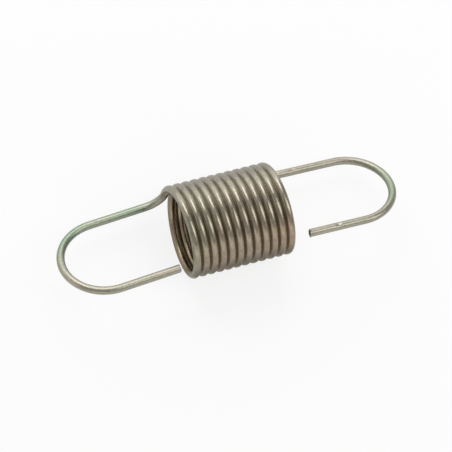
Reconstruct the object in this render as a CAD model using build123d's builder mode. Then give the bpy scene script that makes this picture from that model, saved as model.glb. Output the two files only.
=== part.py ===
from build123d import *
import os
from math import atan, atan2, cos, degrees, radians, sin, tan

# An extension spring of round steel wire: a close-wound coil with a long open hook at each end.
# The coil lies on a flat surface, along X. Each hook leaves it on the +Y side, runs out beside the
# axis, turns back in a half circle and ends in a free leg on the -Y side. The origin is on the
# surface, under the middle of the coil's axis. Lengths are in millimetres, angles in degrees.

wire_diameter = 1.5
coil_diameter = 16.2  # across the middle of the wire
coil_turns = 12  # from the left leg round to the right leg
turn_gap = 0.16  # between neighbouring turns
leg_angle = -5.3  # where the left leg stands, round the coil from +Y towards +Z
right_lag = 1.0  # how far the right leg falls short of that place

corner_radius = 3.6  # of the bend from the coil into a leg
leg_length = 14.5  # from the corner to the half circle
hook_radius = 8.1  # of the half circle
free_leg_length = 11.3  # from the half circle to the cut
end_chamfer = 0.12  # round both cut ends

# The hooks were bent by hand, and stray a little from level and from straight.
left_swing = 3.2  # towards -Y
left_droop = 2.2  # below the axis
left_twist = 0.0  # lifts the free leg above the leg
right_swing = 0.7
right_droop = 0.6
right_twist = 2.3

coil_radius = coil_diameter / 2
pitch = wire_diameter + turn_gap
axis_height = coil_radius + wire_diameter / 2

# The bend into a leg takes the place of the last few degrees of the coil at each end.
corner_angle = degrees(atan(corner_radius / coil_radius))
coil_angle = 360 * coil_turns - right_lag - 2 * corner_angle
coil_length = pitch * coil_angle / 360


def outward(angle):
    """The direction away from the coil's axis, at an angle round it from +Y towards +Z."""
    return Vector(0, cos(radians(angle)), sin(radians(angle)))


def draw_hook(coil_end, away, side, swing, droop, twist):
    """The bend out of the coil, the leg, the half circle and the free leg, all tangent.

    away is the wire's direction as it leaves the coil, and side is -1 on the left, 1 on the right.
    """
    leg = Vector(side, 0, 0).rotate(Axis.Z, -side * swing).rotate(Axis.Y, side * droop)
    across = -outward(-twist).rotate(Axis.Z, -side * swing).rotate(Axis.Y, side * droop)
    reach = corner_radius * tan(radians(away.get_angle(leg)) / 2)
    corner = coil_end + away * reach
    leg_start = corner + leg * reach
    leg_end = corner + leg * leg_length
    free_start = leg_end + across * 2 * hook_radius
    TangentArc(coil_end, leg_start, tangent=away)
    Line(leg_start, leg_end)
    TangentArc(leg_end, free_start, tangent=leg)
    Line(free_start, free_start - leg * free_leg_length)


# The wire is bent with its hooks level and the coil's axis on X.
coil_plane = Plane(
    origin=(-coil_length / 2, 0, 0), x_dir=outward(leg_angle + corner_angle), z_dir=(1, 0, 0)
)
coil = coil_plane * Helix(pitch=pitch, height=coil_length, radius=coil_radius)

with BuildPart() as bent_wire:
    with BuildLine() as centreline:
        add(coil)
        draw_hook(coil @ 0, -(coil % 0), -1, left_swing, left_droop, left_twist)
        draw_hook(coil @ 1, coil % 1, 1, right_swing, right_droop, right_twist)
    with BuildSketch(Plane(origin=centreline.line @ 0, z_dir=centreline.line % 0)):
        Circle(wire_diameter / 2)
    sweep()
    chamfer(faces().filter_by(GeomType.PLANE).edges(), end_chamfer)

# Put down, the coil rolls until the centre of mass, a little off its axis, is lowest.
heavy_side = bent_wire.part.center(CenterOf.MASS)
rest_roll = degrees(atan2(heavy_side.Y, -heavy_side.Z))

with BuildPart() as spring_wire:
    with Locations(Location((0, 0, axis_height), (-rest_roll, 0, 0))):
        add(bent_wire.part)

spring_wire.part.label = "spring_wire"
os.makedirs("parts", exist_ok=True)
export_step(spring_wire.part, "parts/spring_wire.step")
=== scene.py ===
import math

import bpy
import numpy as np
from mathutils import Matrix, Vector


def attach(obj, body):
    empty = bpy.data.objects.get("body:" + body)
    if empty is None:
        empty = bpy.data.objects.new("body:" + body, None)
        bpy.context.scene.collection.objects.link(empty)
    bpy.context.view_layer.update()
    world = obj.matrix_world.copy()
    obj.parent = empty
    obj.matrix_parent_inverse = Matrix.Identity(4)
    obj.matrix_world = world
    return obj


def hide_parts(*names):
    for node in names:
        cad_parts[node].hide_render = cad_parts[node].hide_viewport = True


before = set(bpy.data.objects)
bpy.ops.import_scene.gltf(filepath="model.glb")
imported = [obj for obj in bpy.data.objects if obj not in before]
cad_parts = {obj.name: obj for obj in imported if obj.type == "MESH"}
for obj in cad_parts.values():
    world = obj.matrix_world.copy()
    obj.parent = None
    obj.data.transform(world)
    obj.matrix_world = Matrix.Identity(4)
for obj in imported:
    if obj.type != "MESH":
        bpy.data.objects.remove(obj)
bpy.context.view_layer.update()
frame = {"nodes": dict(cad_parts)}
scene = bpy.context.scene
scene.view_settings.view_transform = "Standard"
print("frame loaded:", ", ".join(frame["nodes"]))

mm = 0.001  # the wire is worked out in mm and the scene is in metres

# the bent wire, lengths in mm and angles in degrees
wire = {
    "thickness": 1.5,
    "coilAcross": 16.2,       # at the middle of the wire
    "turns": 12,
    "turnGap": 0.16,
    "legAngle": -5.3,         # where the left leg stands round the coil, from +Y towards +Z
    "rightLag": 1.0,          # how far the right leg falls short of that place
    "cornerRadius": 3.6,
    "legLength": 14.5,
    "hookRadius": 8.1,
    "freeLeg": 11.3,
    # the hooks were bent by hand: swing is towards -Y, droop is below the axis, and twist lifts the free leg
    "leftHook": {"side": -1, "swing": 3.2, "droop": 2.2, "twist": 0.0},
    "rightHook": {"side": 1, "swing": 0.7, "droop": 0.6, "twist": 2.3},
    "restRoll": 26.28,        # the coil rolls this far before its heavy side is lowest

    # the mesh
    "ringStep": 0.29,         # between rings
    "sides": 36,
    "calmRings": 20,          # v = 0 turns from hook to coil over this many rings each way
    "sharpEdge": 32,

    # what winding, cutting and handling have done to it, and where painted glints and painted shade go
    "touchGap": 0.002,        # the turns lie this near the plane halfway between them
    "fillet": (0.93, 0.985),  # sine of the angle where a groove starts to fill and where it is full
    "bedding": 3.0,           # the first and last turn nestle against their neighbours over this length
    "lastTurn": (1.0, 1.15),  # in pitches from the coil's end, where the outer side becomes bare
    "waver": {"depth": 0.008, "along": 0.9, "twist": 0.23},    # mm, and the waves in radians per mm
    "chamfer": 0.12,          # round the cut ends
    "faceRings": (1.0, 0.8, 0.55, 0.3, 0.1),
    "faceGrain": 0.008,
    "lipFrom": 0.55,          # cosine of the angle where the lip starts
    "leftCut": {"slant": 0.05, "lip": 0.02, "lipAt": 150, "seed": 3},
    "rightCut": {"slant": 0.12, "lip": 0.07, "lipAt": -25, "seed": 4},
    "nicks": [                # at: place along the wire from its middle, around: the angle v
        {"at": -316.9, "around": 112, "length": 0.40, "width": 30, "depth": 0.08},
        {"at": 310.1, "around": 120, "length": 0.45, "width": 28, "depth": 0.08},
        {"at": 349.6, "around": 74, "length": 0.28, "width": 32, "depth": 0.15},
    ],
    # two of these, at -335.2 and 339.5, are painted glints on the bends, and the rest are rubbed wear
    "rubbedAndGlint": [               # place, how far it spreads, how strong
        (-335.2, 2.2, 1.0), (-305.0, 3.0, 0.5), (308.0, 3.0, 0.7), (339.5, 2.5, 0.8), (351.0, 3.0, 0.6),
    ],
    "oxide": [
        (-323.5, 6.5, 1.0), (-310.5, 5.5, 0.9), (-277.0, 6.0, 0.4), (333.0, 6.5, 0.8),
    ],
    "rubbedAndGlintSide": 0.4,        # the rubbing and the painted glints lose this * (1 - cos v) away from v = 0
    "oxideSide": 0.25,        # the oxide loses this * (1 - sin v) away from v = 90
    "grooveFacing": (0.50, 0.98),    # share of the surface's direction along the coil's axis
    "insideFacing": (0.1, 0.8),      # share of it towards the axis
}
wireRadius = wire["thickness"] / 2
coilRadius = wire["coilAcross"] / 2
pitch = wire["thickness"] + wire["turnGap"]
parts = [
    "leftFree", "leftRound", "leftLeg", "leftCorner", "coil",
    "rightCorner", "rightLeg", "rightRound", "rightFree",
]
coilPart = parts.index("coil")


# each row divided by its own length
def unit(rows):
    return rows / np.linalg.norm(rows, axis=-1, keepdims=True)


# each row less its share along a unit row: rows - (rows . along) along
def squareTo(rows, along):
    return rows - np.sum(rows * along, axis=-1, keepdims=True) * along


# 0 below low, 1 above high, and 3 t^2 - 2 t^3 between them
def ramp(low, high, x):
    t = np.clip((x - low) / (high - low), 0, 1)
    return t * t * (3 - 2 * t)


# the direction away from the coil's axis at an angle: (0, cos a, sin a)
def outward(angle):
    a = np.radians(angle)
    return np.stack([np.zeros_like(a), np.cos(a), np.sin(a)], axis=-1)


# rows turned about axis 0, 1 or 2 of the frame: the plane rotation of the other two coordinates
def turned(rows, axis, angle):
    a = math.radians(angle)
    i, j = (axis + 1) % 3, (axis + 2) % 3
    out = np.array(rows, float)
    out[..., i] = math.cos(a) * rows[..., i] - math.sin(a) * rows[..., j]
    out[..., j] = math.sin(a) * rows[..., i] + math.cos(a) * rows[..., j]
    return out


# even shares from 0 to 1 for a stretch of some length
def shares(length):
    return np.linspace(0, 1, math.ceil(length / wire["ringStep"]) + 1)[:, None]


# a straight stretch: start + t * (end - start)
def straight(start, end):
    return start + shares(np.linalg.norm(end - start)) * (end - start)


# an arc that leaves start along a direction and bends inward:
# start + r * (sin a * along + (1 - cos a) * inward)
def arc(start, along, inward, radius, angle):
    a = shares(radius * angle) * angle
    return start + radius * (np.sin(a) * along + (1 - np.cos(a)) * inward)


# a hook's direction swung about Z and drooped about Y, each by the hook's own angle on its own side
def leaned(direction, hook):
    swung = turned(direction, 2, -hook["side"] * hook["swing"])
    return turned(swung, 1, hook["side"] * hook["droop"])


# the corner, leg, half circle and free leg at one end of the coil, and the upright of their plane. The
# corner's arc touches both straights at radius * tan(bend / 2) from where they would meet
def hookPath(coilEnd, away, hook):
    leg = leaned(np.array([float(hook["side"]), 0, 0]), hook)
    level = unit(squareTo(leaned(-outward(-hook["twist"]), hook), leg))
    bend = math.acos(float(away @ leg))
    reach = wire["cornerRadius"] * math.tan(bend / 2)
    corner = coilEnd + away * reach
    legEnd = corner + leg * wire["legLength"]
    freeStart = legEnd + level * 2 * wire["hookRadius"]
    return [
        arc(coilEnd, away, unit(squareTo(leg, away)), wire["cornerRadius"], bend),
        straight(corner + leg * reach, legEnd),
        arc(legEnd, leg, level, wire["hookRadius"], math.pi),
        straight(freeStart, freeStart - leg * wire["freeLeg"]),
    ], np.cross(leg, level)


# the coil: a helix (share of the length, r cos a, r sin a), shorter at each end by its corner's angle,
# and its direction at both ends
def coilPath():
    cornerAngle = math.degrees(math.atan(wire["cornerRadius"] / coilRadius))
    angle = 360 * wire["turns"] - wire["rightLag"] - 2 * cornerAngle
    t = shares(math.radians(angle) * coilRadius)[:, 0]
    coil = coilRadius * outward(wire["legAngle"] + cornerAngle + t * angle)
    coil[:, 0] = (t - 0.5) * pitch * angle / 360
    tangent = outward(wire["legAngle"] + cornerAngle + np.array([0, angle]) + 90) * 2 * math.pi * coilRadius
    tangent[:, 0] = pitch
    return coil, unit(tangent)


# the side that v = 0 faces at each point: away from the coil's axis, or away from a hook's own plane. It is
# averaged over neighbouring rings, which takes out the jumps, and made square to the wire
def wireSide(points, along, part, leftUp, rightUp):
    onLeft = part < parts.index("leftCorner")
    onRight = part > parts.index("rightCorner")
    hint = unit(points * [0, 1, 1])
    hint[onLeft] = np.cross(leftUp, along[onLeft])
    hint[onRight] = np.cross(rightUp, along[onRight])
    # a hook's side that faces away from the corner's at their seam is turned round
    for hook, seam in ((onLeft, np.sum(onLeft)), (onRight, len(part) - np.sum(onRight))):
        hint[hook] *= np.sign(np.sum(hint[seam - 1] * hint[seam]))
    calm = wire["calmRings"]
    padded = np.pad(hint, ((calm, calm), (0, 0)), mode="edge")
    window = np.ones(2 * calm + 1) / (2 * calm + 1)
    hint = np.stack([np.convolve(padded[:, i], window, mode="valid") for i in range(3)], axis=1)
    return unit(squareTo(hint, along))


# the middle line from the left cut to the right cut, its direction, which part each point is in, the
# place along the wire from its middle, which is the running sum of the steps less half, and the side
def wirePath():
    coil, (first, last) = coilPath()
    left, leftUp = hookPath(coil[0], -first, wire["leftHook"])
    right, rightUp = hookPath(coil[-1], last, wire["rightHook"])
    stretches = [p[::-1] for p in left[::-1]] + [coil] + right
    points = np.concatenate([p[:-1] for p in stretches] + [stretches[-1][-1:]])
    part = np.concatenate([np.full(len(p) - 1, i) for i, p in enumerate(stretches)] + [[len(parts) - 1]])
    along = unit(np.gradient(points, axis=0))
    length = np.concatenate([[0], np.cumsum(np.linalg.norm(np.diff(points, axis=0), axis=1))])
    return points, along, part, length - length[-1] / 2, wireSide(points, along, part, leftUp, rightUp)


# how far each bit of the surface has another turn beside it: 1 along the coil, 0 on the hooks and on
# the outer side of the end turns, with short ramps between
def besideTurn(x, normalX, part, place):
    start, end = x[part == coilPart][[0, -1]]
    first, last = place[part == coilPart][[0, -1]]
    near, far = (share * pitch for share in wire["lastTurn"])
    bedded = ramp(first, first + wire["bedding"], place) * ramp(last, last - wire["bedding"], place)
    right = ramp(end - near, end - far, x)[:, None]
    left = ramp(start + near, start + far, x)[:, None]
    return bedded[:, None] * np.where(normalX > 0, right, left)


# the radius for each ring and angle: the wire's own, raised to halfway / |sin v| deep in the grooves so
# that the turns meet, less a slow waver, less a bell-shaped dip for each nick, which is
# depth * exp(-(distance / length)^2 - (turn / width)^2)
def radii(place, v, beside):
    sine = np.clip(np.abs(np.sin(np.radians(v))), wire["fillet"][0], 1)
    halfway = pitch / 2 - wire["touchGap"]
    radius = wireRadius + beside * ramp(*wire["fillet"], sine) * (halfway / sine - wireRadius)
    waver = wire["waver"]
    twisted = np.radians(2 * v) + place[:, None] * waver["twist"]
    wave = np.sin(place * waver["along"])[:, None] * np.cos(twisted)
    radius = radius - waver["depth"] * (0.5 + 0.5 * wave) * (1 - beside)
    for nick in wire["nicks"]:
        distance = (place - nick["at"])[:, None] / nick["length"]
        turn = ((v - nick["around"] + 180) % 360 - 180)[None] / nick["width"]
        radius -= nick["depth"] * np.exp(-distance ** 2 - turn ** 2)
    return radius


# rings that carry the tube over its chamfer and across its cut face. Each is middle + radius * share *
# ring + ahead * along, with ahead = -slant * (1 - cos v) / 2, and a lip where cos(v - lipAt) is near 1
def cutRings(middle, along, ring, v, cut):
    share = np.concatenate([[1], np.array(wire["faceRings"]) * (1 - wire["chamfer"] / wireRadius)])
    share = np.repeat(share[:, None], len(v), axis=1)
    grain = np.random.default_rng(cut["seed"]).normal(0, wire["faceGrain"], share.shape)
    grain[0] = 0
    side = np.cos(np.radians(v))
    ahead = -cut["slant"] * (1 - share * side) / 2 + grain
    ahead[0] -= wire["chamfer"]
    lip = ramp(wire["lipFrom"], 1, np.cos(np.radians(v - cut["lipAt"])))
    share[1] += (cut["lip"] + wire["chamfer"]) / wireRadius * lip
    ahead[1] += cut["lip"] * lip
    return middle + wireRadius * share[:, :, None] * ring + ahead[:, :, None] * along


# a vertex attribute from an array
def give(mesh, name, values):
    kind, key = ("FLOAT_VECTOR", "vector") if values.ndim == 2 else ("FLOAT", "value")
    mesh.attributes.new(name, kind, "POINT").data.foreach_set(key, values.astype(np.float32).ravel())


# a bell for each place, strong * exp(-((place - at) / spread)^2), all added up
def patches(places, place):
    return sum(strong * np.exp(-((place - at) / spread) ** 2) for at, spread, strong in places)[:, None]


# the faces between rings of vertices: a quad for each step along and round, and a fan of triangles from
# each cut's middle, which are the last two vertices
def tubeFaces(count, sides):
    r, k = np.meshgrid(np.arange(count - 1), np.arange(sides), indexing="ij")
    a, b = r * sides + k, r * sides + (k + 1) % sides
    quads = np.stack([a, b, b + sides, a + sides], axis=-1).reshape(-1, 4)
    k = np.arange(sides)
    start = np.stack([(k + 1) % sides, k, np.full(sides, count * sides)], axis=-1)
    end = np.stack([k, (k + 1) % sides, np.full(sides, sides + 1)], axis=-1) + (count - 1) * sides
    return quads.tolist() + start.tolist() + end.tolist()


# the tube: middle + r * (cos v * side + sin v * up) for each ring and angle v, closed over both cuts
def buildWire():
    points, along, part, place, side = wirePath()
    sides = wire["sides"]
    v = np.linspace(0, 360, sides, endpoint=False)
    cosine, sine = np.cos(np.radians(v)), np.sin(np.radians(v))
    up = np.cross(along, side)
    ring = cosine[None, :, None] * side[:, None] + sine[None, :, None] * up[:, None]
    beside = besideTurn(points[:, 0], ring[..., 0], part, place)
    body = points[:, None] + radii(place, v, beside)[:, :, None] * ring
    first = cutRings(points[0], -along[0], ring[0], v, wire["leftCut"])[::-1]
    last = cutRings(points[-1], along[-1], ring[-1], v, wire["rightCut"])
    grid = np.concatenate([first, body[1:-1], last])
    count, ends = len(grid), len(first)
    tips = [
        points[0] + along[0] * wire["leftCut"]["slant"] / 2,
        points[-1] - along[-1] * wire["rightCut"]["slant"] / 2,
    ]
    corners = turned(np.concatenate([grid.reshape(-1, 3), tips]), 0, -wire["restRoll"])
    corners = (corners + [0, 0, coilRadius + wireRadius]) * mm
    mesh = bpy.data.meshes.new("springWire")
    mesh.from_pydata(corners.tolist(), [], tubeFaces(count, sides))
    mesh.shade_smooth()
    mesh.set_sharp_from_angle(angle=math.radians(wire["sharpEdge"]))

    # which ring of the path each ring of the mesh stands on, and how far out on the face it lies
    pick = np.clip(np.arange(count) - ends + 1, 0, len(points) - 1)
    share = np.ones(count)
    share[:ends] = np.append(wire["faceRings"][::-1], 1)
    share[-ends:] = np.append(1, wire["faceRings"])
    normal, place, onCoil, beside = ring[pick], place[pick], (part[pick] == coilPart)[:, None], beside[pick]

    # the wire as it was before it was bent: (r cos v, r sin v, place)
    flat = wireRadius * share[:, None]
    unbent = np.stack([flat * cosine, flat * sine, np.repeat(place[:, None], sides, axis=1)], axis=-1)
    middles = [[0, 0, place[0]], [0, 0, place[-1]]]
    give(mesh, "unbent", np.concatenate([unbent.reshape(-1, 3), middles]))

    # marks on the surface, each from 0 to about 1, and what each one is at the middle of the cuts
    axial = np.abs(normal[..., 0])
    radial = unit(points[pick] * [0, 1, 1])[:, None]
    cut = np.zeros((count, sides))
    cut[:ends - 1] = 1
    cut[1 - ends:] = 1
    marks = {
        # groove and inside mark where painted shade goes, and rubbed marks rubbed wear and painted glints
        "groove": (ramp(*wire["grooveFacing"], axial) * beside, 0),
        "inside": (ramp(*wire["insideFacing"], -np.sum(normal * radial, axis=-1)) * onCoil, 0),
        "rubbedAndGlint": (patches(wire["rubbedAndGlint"], place) * (1 - wire["rubbedAndGlintSide"] * (1 - cosine)), 0),
        "oxide": (patches(wire["oxide"], place) * (1 - wire["oxideSide"] * (1 - sine)), 0),
        "worn": (np.repeat(~onCoil, sides, axis=1), 1),
        "cut": (cut, 1),
    }
    for name, (values, middle) in marks.items():
        give(mesh, name, np.append(values.ravel(), [middle, middle]))
    piece = bpy.data.objects.new("springWire", mesh)
    scene.collection.objects.link(piece)
    return piece


springWire = buildWire()
print("wire bent:", len(springWire.data.polygons), "faces")


# a node, with its settings and inputs; an input may be another node's socket
def node(tree, kind, settings=None, inputs=None):
    made = tree.nodes.new(kind)
    for name, value in (settings or {}).items():
        setattr(made, name, value)
    for name, value in (inputs or {}).items():
        if isinstance(value, bpy.types.NodeSocket):
            tree.links.new(value, made.inputs[name])
        else:
            made.inputs[name].default_value = value
    return made


# the finish of the steel, lengths in mm
steel = {
    "colour": (0.392, 0.360, 0.290, 1),      # dull drawn steel, a warm grey
    "worn": (0.450, 0.413, 0.333, 1),        # the hooks, brighter from handling
    "olive": (0.285, 0.410, 0.288, 1),       # thin oxide that tints whole stretches
    "straw": (0.415, 0.322, 0.228, 1),       # the warmer side of the coil
    "insideShade": (0.385, 0.300, 0.200, 1),       # painted shade inside the coil, browner and darker
    "sootAndShade": (0.120, 0.095, 0.068, 1),        # drawing soap left in the pits, and painted shade in the grooves and along the front
    "sheared": (0.090, 0.100, 0.085, 1),     # the cut faces, torn and dark
    "bareAndGlint": (0.640, 0.555, 0.470, 1),        # rubbed or cut bright, and the painted glints on two bends

    # clouds: size in mm, detail, roughness, and the levels of the noise that count as 0 and 1
    "lines": {"size": 0.09, "detail": 3, "rough": 0.55, "levels": (0.30, 0.70)},
    "broadLines": {"size": 0.27, "detail": 2, "rough": 0.55, "levels": (0.35, 0.65)},
    "mottle": {"size": 0.7, "detail": 5, "rough": 0.65, "levels": (0.30, 0.70)},
    "speckle": {"size": 0.28, "detail": 3, "rough": 0.55, "levels": (0.30, 0.70)},
    "grain": {"size": 0.12, "detail": 2, "rough": 0.55, "levels": (0.35, 0.65)},
    "pits": {"size": 0.22, "detail": 2, "rough": 0.55, "levels": (0.68, 0.76)},
    "tint": {"size": 11.0, "detail": 2, "rough": 0.55, "levels": (0.42, 0.62)},
    "warmth": {"size": 8.8, "detail": 2, "rough": 0.55, "levels": (0.48, 0.68)},
    "warmthMoved": (0.31, 0.17, 0.05),       # so that it isn't the same cloud as the tint
    "lineStretch": 0.015,                    # the drawing lines' width over their length

    # places on the coil: mm along Y and up Z between which a mark grows from none to full
    "frontSide": (5.0, -6.0),
    "shadeBandAcross": (-8.0, -8.7),            # painted shade: a dark line along the front of the coil
    "shadeBandUp": (8.0, 9.0),

    # how strongly each one shows
    "wornShare": 0.8,
    "strawShare": (0.55, 1.0),
    "tintShare": 0.15,
    "oxideShare": (0.5, 1.0),
    "mottleShade": (0.84, 1.14),
    "lineShade": (0.98, 1.02),
    "speckleShade": (0.94, 1.06),
    "rubbedAndGlintShare": (0.2, 0.5),
    "rimShare": 3.6,                         # times cut * (1 - cut), which is a quarter on the chamfer
    # how strongly the painted shade inside the coil, in the grooves and along the front shows, and the real
    # soot in the pits
    "insideShadeShare": 0.8,
    "grooveShade": (0.12, 0.42),
    "grooveShadeBy": 0.7,                          # the painted shade in the grooves is darkest this far to the front
    "pitSoot": 0.4,
    "shadeBand": (0.40, 0.65),
    "faceFrom": 0.7,                         # the torn colour starts where cut is this much

    # roughness and relief
    "roughness": (0.20, 0.34),
    "roughMottle": 0.6,
    "roughLines": 0.4,
    "dirtyRoughness": 0.2,
    "wornRoughness": 0.10,                   # the hooks are this much duller
    "rubbedSmoothness": 0.1,
    "lineHeight": 0.1,
    "grainHeight": 0.5,
    "pitDepth": 1.5,
    "tornHeight": 4,                         # of the grain on the cut faces
    "bumpStrength": 0.6,
    "relief": 0.0009,
}


# drawn steel: a base colour that is mixed in turn with wear, tints, bright rubbing and painted glints,
# painted shade inside the coil, soot in the pits with painted shade in the grooves and along the front, and
# the torn face, each by its own mark or cloud; roughness and height are sums of the same clouds times their
# shares
def drawnSteel():
    material = bpy.data.materials.new("drawnSteel")
    material.use_nodes = True
    tree = material.node_tree
    shader = tree.nodes["Principled BSDF"]
    shader.inputs["Metallic"].default_value = 1

    # one of the attributes that the mesh carries
    def mark(name, output="Fac"):
        return node(tree, "ShaderNodeAttribute", {"attribute_name": name}).outputs[output]

    def worked(kind, a, b):
        return node(tree, "ShaderNodeMath", {"operation": kind}, {0: a, 1: b}).outputs[0]

    def times(a, b):
        return worked("MULTIPLY", a, b)

    def plus(a, b):
        return worked("ADD", a, b)

    def minus(a, b):
        return worked("SUBTRACT", a, b)

    def larger(a, b):
        return worked("MAXIMUM", a, b)

    # a value between its old limits, moved evenly to between its new ones
    def spread(value, old, new=(0, 1)):
        limits = {"From Min": old[0], "From Max": old[1], "To Min": new[0], "To Max": new[1]}
        return node(tree, "ShaderNodeMapRange", inputs={"Value": value, **limits}).outputs["Result"]

    # the same for a mark or a cloud, which runs from 0 to 1
    def between(limits, value):
        return spread(value, (0, 1), limits)

    # smooth noise, with its middle levels stretched to run from 0 to 1
    def cloud(where, name, unitLength=1):
        given = steel[name]
        inputs = {
            "Vector": where, "Scale": 1 / (given["size"] * unitLength),
            "Detail": given["detail"], "Roughness": given["rough"],
        }
        return spread(node(tree, "ShaderNodeTexNoise", inputs=inputs).outputs["Fac"], given["levels"])

    def moved(where, location=(0, 0, 0), scale=(1, 1, 1)):
        inputs = {"Vector": where, "Location": location, "Scale": scale}
        return node(tree, "ShaderNodeMapping", inputs=inputs).outputs[0]

    def mixed(share, under, over, blend="MIX"):
        settings = {"data_type": "RGBA", "blend_type": blend}
        return node(tree, "ShaderNodeMix", settings, {0: share, 6: under, 7: over}).outputs[2]

    where = node(tree, "ShaderNodeTexCoord").outputs["Object"]
    unbent = mark("unbent", "Vector")
    groove, inside, rubbedAndGlint = mark("groove"), mark("inside"), mark("rubbedAndGlint")
    oxide, worn, cut = mark("oxide"), mark("worn"), mark("cut")
    squeezed = moved(unbent, scale=(1, 1, steel["lineStretch"]))
    lines = cloud(squeezed, "lines")
    broadLines = cloud(squeezed, "broadLines")
    mottle = cloud(unbent, "mottle")
    speckle = cloud(unbent, "speckle")
    grain = cloud(unbent, "grain")
    pits = cloud(unbent, "pits")
    tint = cloud(where, "tint", mm)
    warmth = cloud(moved(where, steel["warmthMoved"]), "warmth", mm)
    inMillimetres = node(tree, "ShaderNodeSeparateXYZ", inputs={0: moved(where, scale=(1 / mm,) * 3)})
    across, upward = inMillimetres.outputs["Y"], inMillimetres.outputs["Z"]
    front = spread(across, steel["frontSide"])
    onCoil = minus(1, worn)

    # wear and tints
    colour = mixed(times(worn, steel["wornShare"]), steel["colour"], steel["worn"])
    warm = times(times(front, onCoil), between(steel["strawShare"], warmth))
    colour = mixed(warm, colour, steel["straw"])
    oxidised = times(oxide, between(steel["oxideShare"], mottle))
    colour = mixed(larger(times(tint, steel["tintShare"]), oxidised), colour, steel["olive"])
    shade = times(between(steel["mottleShade"], mottle), between(steel["lineShade"], lines))
    shade = times(shade, between(steel["speckleShade"], speckle))
    channels = {"Red": shade, "Green": shade, "Blue": shade}
    grey = node(tree, "ShaderNodeCombineColor", inputs=channels).outputs[0]
    colour = mixed(1.0, colour, grey, "MULTIPLY")

    # bright places, rubbed wear and painted glints, and the rim: cut is 0 on the wire and 1 on the sheared
    # face, so it is halfway on the chamfer
    rim = times(times(cut, minus(1, cut)), steel["rimShare"])
    bright = larger(times(rubbedAndGlint, between(steel["rubbedAndGlintShare"], broadLines)), rim)
    colour = mixed(bright, colour, steel["bareAndGlint"])
    # painted shade inside the coil
    colour = mixed(times(inside, steel["insideShadeShare"]), colour, steel["insideShade"])

    # dirt in the pits, painted shade in the grooves and along the front, and the torn faces
    # painted shade in the grooves between the turns, darkest towards the front
    shadedGrooves = times(groove, spread(front, (0, steel["grooveShadeBy"]), steel["grooveShade"]))
    # painted shade: a dark line along the front of the coil
    shadeBandMask = times(spread(across, steel["shadeBandAcross"]), spread(upward, steel["shadeBandUp"]))
    shadedBand = times(times(shadeBandMask, onCoil), between(steel["shadeBand"], mottle))
    dirtAndShade = larger(larger(shadedGrooves, times(pits, steel["pitSoot"])), shadedBand)
    colour = mixed(dirtAndShade, colour, steel["sootAndShade"])
    torn = mixed(mottle, steel["sheared"], steel["colour"])
    colour = mixed(spread(cut, (steel["faceFrom"], 1)), colour, torn)
    tree.links.new(colour, shader.inputs["Base Color"])

    uneven = plus(times(mottle, steel["roughMottle"]), times(lines, steel["roughLines"]))
    rough = between(steel["roughness"], uneven)
    rough = plus(rough, times(larger(dirtAndShade, cut), steel["dirtyRoughness"]))
    rough = plus(rough, times(worn, steel["wornRoughness"]))
    rough = minus(rough, times(rubbedAndGlint, steel["rubbedSmoothness"]))
    tree.links.new(rough, shader.inputs["Roughness"])

    relief = plus(times(lines, steel["lineHeight"]), times(grain, steel["grainHeight"]))
    relief = minus(relief, times(pits, steel["pitDepth"]))
    relief = plus(relief, times(cut, times(grain, steel["tornHeight"])))
    inputs = {"Height": relief, "Strength": steel["bumpStrength"], "Distance": steel["relief"] * mm}
    tree.links.new(node(tree, "ShaderNodeBump", inputs=inputs).outputs[0], shader.inputs["Normal"])
    return material


springWire.data.materials.append(drawnSteel())
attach(springWire, "root")
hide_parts("spring_wire")
print("steel finished")

# a plain pale floor, white to the camera where nothing shades it, and the world round it
stage = {
    "size": 1.0,
    "paper": 0.84,            # how pale the floor is
    "shown": 0.20,            # the camera sees this much of its own shade, and the rest as even white
    "worldLight": 0.42,
    "worldMirrored": 0.38,    # the room is darker where the steel mirrors it
}


# the floor: a square of half the size each way. What the camera sees of it is
# white * (1 - shown) + its own shade * shown
def buildFloor():
    half = stage["size"] / 2
    corners = [(-half, -half, 0), (half, -half, 0), (half, half, 0), (-half, half, 0)]
    mesh = bpy.data.meshes.new("floor")
    mesh.from_pydata(corners, [], [(0, 1, 2, 3)])
    floor = bpy.data.objects.new("floor", mesh)
    scene.collection.objects.link(floor)
    material = bpy.data.materials.new("palePaper")
    material.use_nodes = True
    tree = material.node_tree
    tree.nodes.remove(tree.nodes["Principled BSDF"])
    toCamera = node(tree, "ShaderNodeLightPath").outputs["Is Camera Ray"]
    paper, faint = (
        node(tree, "ShaderNodeBsdfDiffuse", inputs={"Color": (level, level, level, 1)}).outputs[0]
        for level in (stage["paper"], stage["shown"])
    )
    white = node(tree, "ShaderNodeEmission", inputs={"Strength": 1 - stage["shown"]}).outputs[0]
    shown = node(tree, "ShaderNodeAddShader", inputs={0: faint, 1: white}).outputs[0]
    surface = node(tree, "ShaderNodeMixShader", inputs={0: toCamera, 1: paper, 2: shown}).outputs[0]
    tree.links.new(surface, tree.nodes["Material Output"].inputs["Surface"])
    mesh.materials.append(material)


# an even white world: strength 1 to the camera, and its own two strengths as light and in reflections
def lightWorld():
    world = bpy.data.worlds.new("studio")
    scene.world = world
    world.use_nodes = True
    tree = world.node_tree
    background = tree.nodes["Background"]
    background.inputs["Color"].default_value = (1, 1, 1, 1)
    ray = node(tree, "ShaderNodeLightPath").outputs
    levels = {0: ray["Is Glossy Ray"], 2: stage["worldLight"], 3: stage["worldMirrored"]}
    level = node(tree, "ShaderNodeMix", inputs=levels).outputs[0]
    shown = node(tree, "ShaderNodeMix", inputs={0: ray["Is Camera Ray"], 2: level, 3: 1.0}).outputs[0]
    tree.links.new(shown, background.inputs["Strength"])


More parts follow.
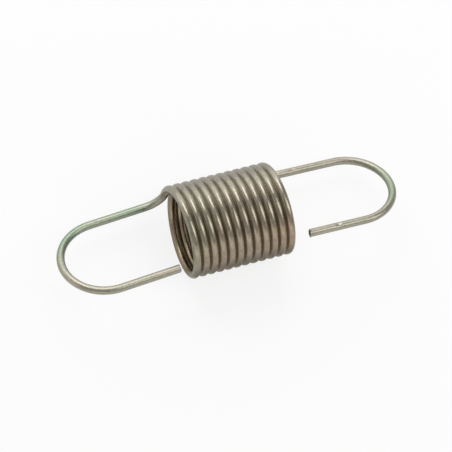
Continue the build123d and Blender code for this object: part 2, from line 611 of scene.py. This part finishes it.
# soft lamps and cards: the way to each from the spring, how far, its width and height in metres, its
# turn in degrees and how bright it looks
lamps = {
    "backSoftbox": {"way": (-0.05, 0.66, 0.75), "far": 0.50, "size": (0.37, 0.30), "turn": 0, "bright": 2.3},
    "topSoftbox": {"way": (0.46, -0.21, 0.86), "far": 0.50, "size": (0.46, 0.22), "turn": -25, "bright": 1.8},
    "frontCard": {"way": (-0.12, -0.95, 0.28), "far": 0.45, "size": (1.10, 0.22), "turn": 0, "bright": 0.64},
    "backCard": {"way": (0.0, 0.96, 0.28), "far": 0.60, "size": (1.40, 0.34), "turn": 0, "bright": 0.90},
    "leftCard": {"way": (-0.88, 0.34, 0.34), "far": 0.60, "size": (0.60, 0.34), "turn": 0, "bright": 0.38},
}
steep = 0.8  # a lamp whose way rises more than this counts as overhead, and its width lies along X


# each lamp stands at way * far and faces the spring; an even lamp of power P and area A looks as bright
# as P / (pi * A), so its power is bright * pi * A
def hangLamps():
    for name, lamp in lamps.items():
        data = bpy.data.lights.new(name, "AREA")
        data.shape = "RECTANGLE"
        data.size, data.size_y = lamp["size"]
        data.energy = lamp["bright"] * math.pi * data.size * data.size_y
        hung = bpy.data.objects.new(name, data)
        scene.collection.objects.link(hung)
        hung.visible_camera = False
        away = Vector(lamp["way"]).normalized()
        sideways = Vector((1, 0, 0)) if away.z >= steep else Vector((away.y, -away.x, 0)).normalized()
        upward = away.cross(sideways).normalized()
        facing = Matrix((upward.cross(away), upward, away)).transposed().to_4x4()
        spin = Matrix.Rotation(math.radians(lamp["turn"]), 4, "Z")
        hung.matrix_world = Matrix.Translation(away * lamp["far"]) @ facing @ spin


# the camera: what it aims at and how far off in metres, the way it looks round from +Y towards +X, how
# far down, its roll, all in degrees, and its lens in mm
view = {
    "aim": (-0.00075, -0.00086, 0.00842), "far": 0.3877,
    "round": 49.82, "down": 69.49, "roll": 33.73,
    "lens": 167.99, "sensor": 36, "clip": (0.01, 20),
}


# it looks along (cos d sin a, cos d cos a, -sin d) from aim - far * that, rolled about it by r
def placeCamera():
    data = bpy.data.cameras.new("camera")
    data.lens, data.sensor_width = view["lens"], view["sensor"]
    data.clip_start, data.clip_end = view["clip"]
    camera = bpy.data.objects.new("camera", data)
    scene.collection.objects.link(camera)
    a, d, r = (math.radians(view[name]) for name in ("round", "down", "roll"))
    ahead = Vector((math.cos(d) * math.sin(a), math.cos(d) * math.cos(a), -math.sin(d)))
    levelRight = Vector((math.cos(a), -math.sin(a), 0))
    levelUp = levelRight.cross(ahead)
    right = math.cos(r) * levelRight + math.sin(r) * levelUp
    up = math.cos(r) * levelUp - math.sin(r) * levelRight
    place = Vector(view["aim"]) - ahead * view["far"]
    camera.matrix_world = Matrix.Translation(place) @ Matrix((right, up, -ahead)).transposed().to_4x4()
    scene.camera = camera


buildFloor()
lightWorld()
hangLamps()
placeCamera()
print("stage set")
